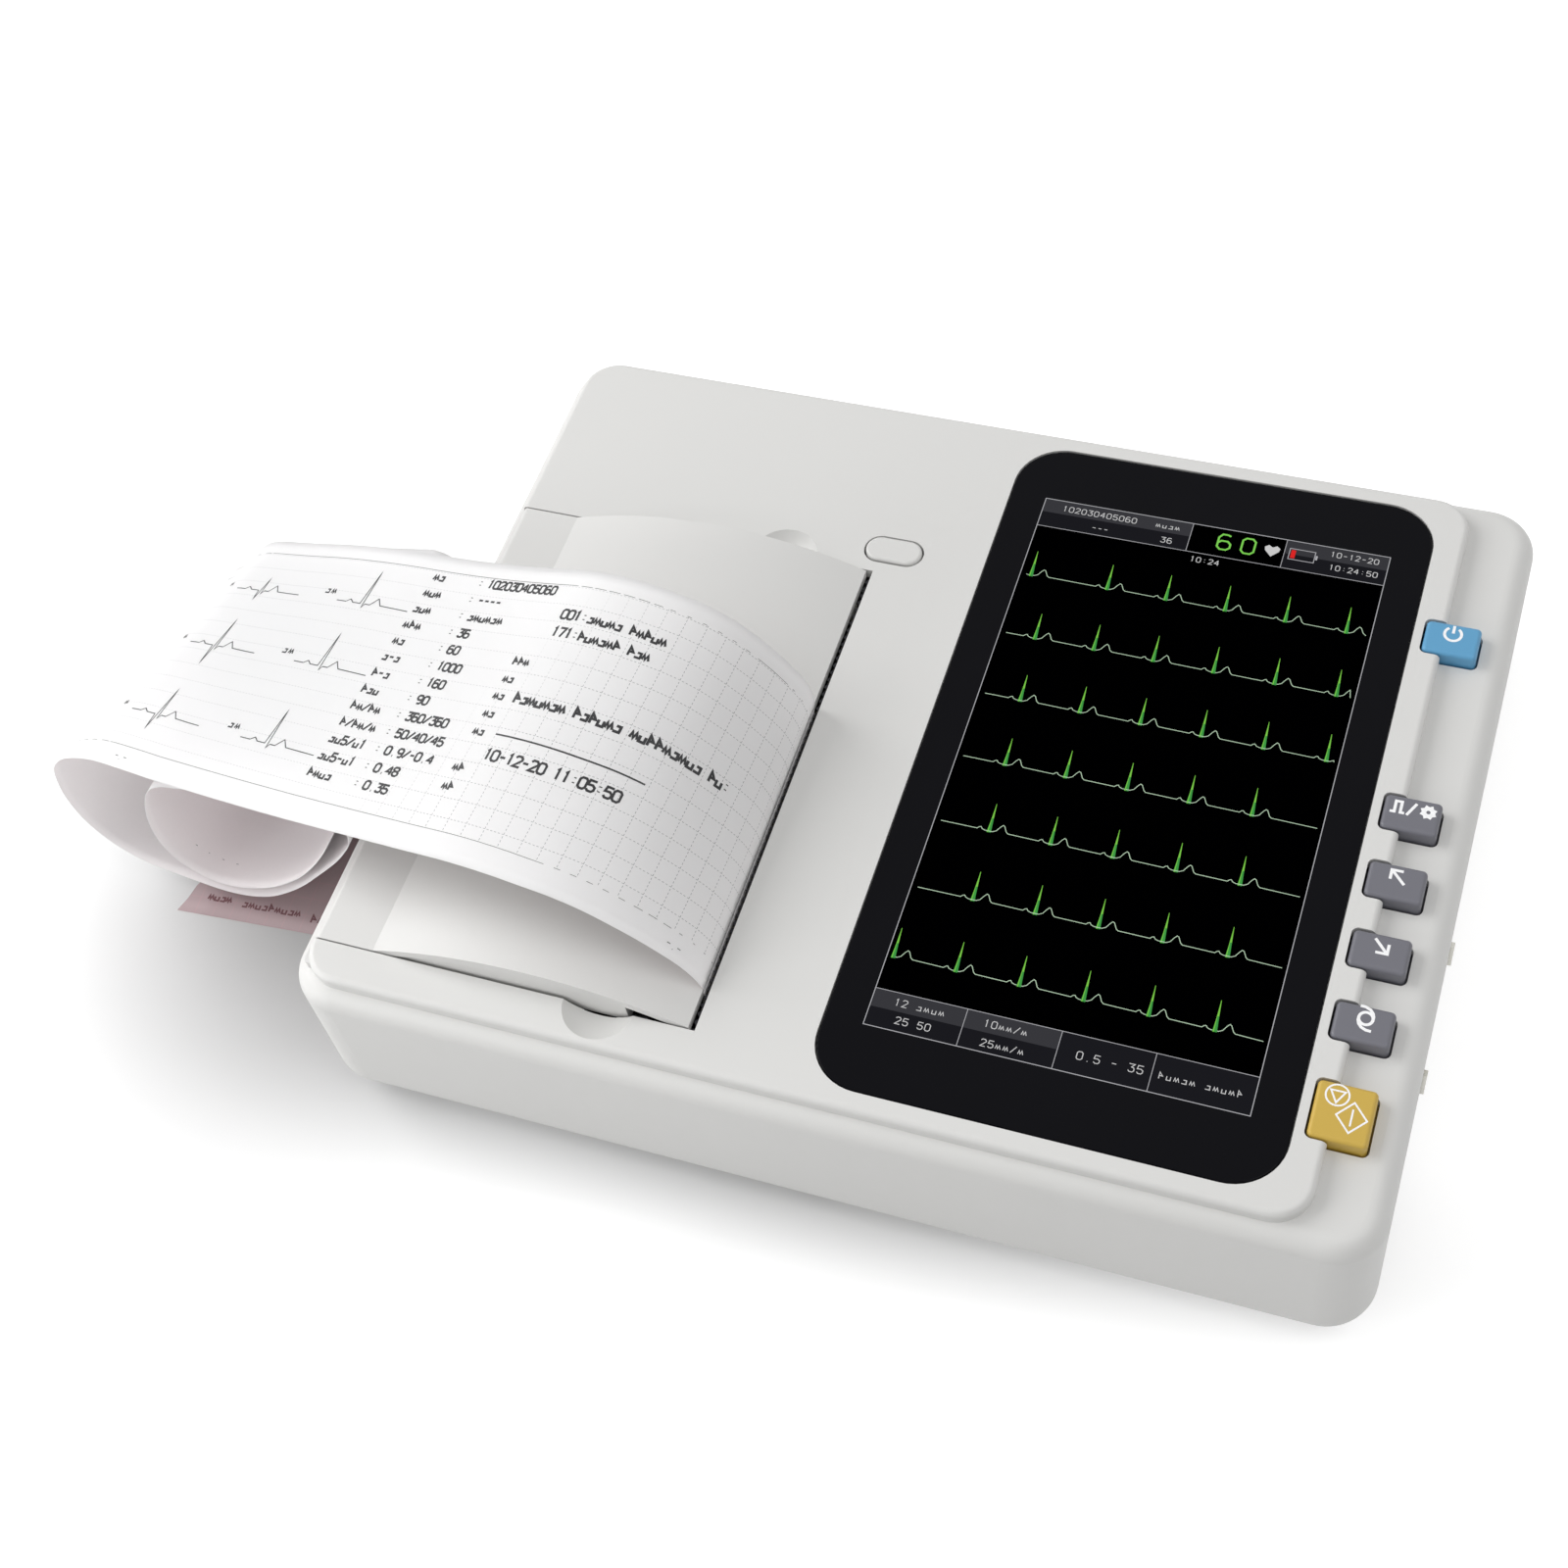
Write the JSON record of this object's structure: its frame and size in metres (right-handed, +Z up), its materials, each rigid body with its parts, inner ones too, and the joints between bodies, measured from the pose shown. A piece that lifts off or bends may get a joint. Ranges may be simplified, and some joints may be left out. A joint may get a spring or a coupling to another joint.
{
  "type": "portable electrocardiograph",
  "caption": "Flat desktop patient recorder with a portrait touch screen, side keys, a hinged chart door with roller and a strip of chart paper curling over it.",
  "frame": {"origin": "on the table plane, under the middle of the whole with its chart strip", "axes": "+X to the right, towards the keys and the patient lead socket; +Y to the back, towards the rear connectors; +Z up"},
  "size_m": [0.3449, 0.204, 0.0888],
  "materials": {
    "case": "fine satin texture",
    "dark_plastic": "satin",
    "black_plastic": "satin",
    "cover_glass": "polished",
    "display_metal": "satin",
    "steel": "zinc plated",
    "blackened_steel": "blackened",
    "nickel": "nickel plated",
    "gilt": "gold plated",
    "brass_gear": "machined",
    "alloy": "extruded",
    "circuit_board": "solder resist",
    "battery_wrap": "shrink wrap",
    "dome_rubber": "silicone",
    "foot_rubber": "moulded",
    "platen_rubber": "ground",
    "chart": "coated",
    "core_board": "wound",
    "gear_plastic": "moulded acetal",
    "head_ceramic": "glazed",
    "blue_plastic": "satin",
    "grey_plastic": "satin",
    "gold_plastic": "satin"
  },
  "bodies": {
    "root": {"top_case": "case", "bottom_case": "case", "rear_panel": "dark_plastic", "screen_glass": "cover_glass", "lcd_panel": "display_metal", "lcd_bracket": "steel", "main_board": "circuit_board", "board_parts": "black_plastic", "shield_can": "steel", "clock_cell": "steel", "keypad_board": "circuit_board", "keypad_domes": "dome_rubber", "power_board": "circuit_board", "power_parts": "black_plastic", "battery_pack": "battery_wrap", "battery_cover": "case", "paper_tub": "dark_plastic", "printer_chassis": "steel", "head_pivot": "steel", "head_springs": "steel", "tear_bar": "blackened_steel", "motor": "steel", "idler_pin": "steel", "hinge_pin": "steel", "latch_pin": "steel", "release_spring": "steel", "lead_socket": "nickel", "socket_pins": "gilt", "jack_screws": "nickel", "mains_inlet": "black_plastic", "inlet_blades": "nickel", "earth_stud": "nickel", "port_board": "circuit_board", "data_ports": "nickel", "speaker": "black_plastic", "rubber_feet": "foot_rubber", "case_screws": "steel", "chart_web": "chart", "chart_paper": "chart"},
    "paper_door": {"door_skin": "case", "door_frame": "dark_plastic", "platen_bushes": "black_plastic"},
    "platen": {"platen_roller": "platen_rubber", "platen_shaft": "steel", "platen_gear": "gear_plastic"},
    "idler": {"idler_gear": "gear_plastic"},
    "motor_rotor": {"motor_pinion": "brass_gear"},
    "roll": {"paper_roll": "chart", "roll_core": "core_board", "roll_spindle": "gear_plastic"},
    "head": {"print_head": "head_ceramic", "head_sink": "alloy"},
    "latch": {"latch_lever": "dark_plastic"},
    "release": {"release_button": "case"},
    "button_power": {"key_power": "blue_plastic"},
    "button_mode": {"key_mode": "grey_plastic"},
    "button_up": {"key_up": "grey_plastic"},
    "button_down": {"key_down": "grey_plastic"},
    "button_rotate": {"key_rotate": "grey_plastic"},
    "button_print": {"key_print": "gold_plastic"}
  },
  "joints": [
    {"name": "door_hinge", "type": "hinge", "parent": "root", "child": "paper_door", "pos_m": [-0.0753, -0.02175, 0.0509], "axis": [0, -1, 0], "range_deg": [0, 95], "deforming": ["chart_paper"]},
    {"name": "platen_spin", "type": "hinge", "parent": "paper_door", "child": "platen", "pos_m": [0.008, -0.02335, 0.044], "axis": [0, 1, 0], "continuous": true},
    {"name": "idler_spin", "type": "hinge", "parent": "root", "child": "idler", "pos_m": [0.008, 0.03635, 0.02785], "axis": [0, 1, 0], "continuous": true},
    {"name": "pinion_spin", "type": "hinge", "parent": "root", "child": "motor_rotor", "pos_m": [0.02077, 0.03635, 0.02048], "axis": [0, 1, 0], "continuous": true},
    {"name": "roll_spin", "type": "hinge", "parent": "root", "child": "roll", "pos_m": [-0.039, -0.0386, 0.028], "axis": [0, 1, 0], "continuous": true},
    {"name": "head_rock", "type": "hinge", "parent": "root", "child": "head", "pos_m": [0.0195, -0.02335, 0.0335], "axis": [0, 1, 0], "range_deg": [0, 3], "stiffness_Nm_per_rad": 0.5, "springref_deg": -5.73, "deforming": ["head_springs"]},
    {"name": "latch_turn", "type": "hinge", "parent": "root", "child": "latch", "pos_m": [0.018, 0.04395, 0.0385], "axis": [0, 1, 0], "range_deg": [0, 15]},
    {"name": "release_press", "type": "slide", "parent": "root", "child": "release", "axis": [0, 0, -1], "range_m": [0, 0.0015], "stiffness_N_per_m": 1200, "springref_m": -0.0005, "deforming": ["release_spring"]},
    {"name": "power_key_press", "type": "slide", "parent": "root", "child": "button_power", "axis": [0, 0, -1], "range_m": [0, 0.0008], "stiffness_N_per_m": 1200, "deforming": ["keypad_domes"]},
    {"name": "mode_key_press", "type": "slide", "parent": "root", "child": "button_mode", "axis": [0, 0, -1], "range_m": [0, 0.0008], "stiffness_N_per_m": 1200, "deforming": ["keypad_domes"]},
    {"name": "up_key_press", "type": "slide", "parent": "root", "child": "button_up", "axis": [0, 0, -1], "range_m": [0, 0.0008], "stiffness_N_per_m": 1200, "deforming": ["keypad_domes"]},
    {"name": "down_key_press", "type": "slide", "parent": "root", "child": "button_down", "axis": [0, 0, -1], "range_m": [0, 0.0008], "stiffness_N_per_m": 1200, "deforming": ["keypad_domes"]},
    {"name": "rotate_key_press", "type": "slide", "parent": "root", "child": "button_rotate", "axis": [0, 0, -1], "range_m": [0, 0.0008], "stiffness_N_per_m": 1200, "deforming": ["keypad_domes"]},
    {"name": "print_key_press", "type": "slide", "parent": "root", "child": "button_print", "axis": [0, 0, -1], "range_m": [0, 0.0008], "stiffness_N_per_m": 1200, "deforming": ["keypad_domes"]}
  ],
  "couplings": [
    {"joint": "idler_spin", "follows": "platen_spin", "ratio": -0.64286},
    {"joint": "pinion_spin", "follows": "platen_spin", "ratio": 1.2857},
    {"joint": "roll_spin", "follows": "platen_spin", "ratio": -0.35294},
    {"joint": "latch_turn", "follows": "release_press", "rad_per_m": 166.67}
  ]
}
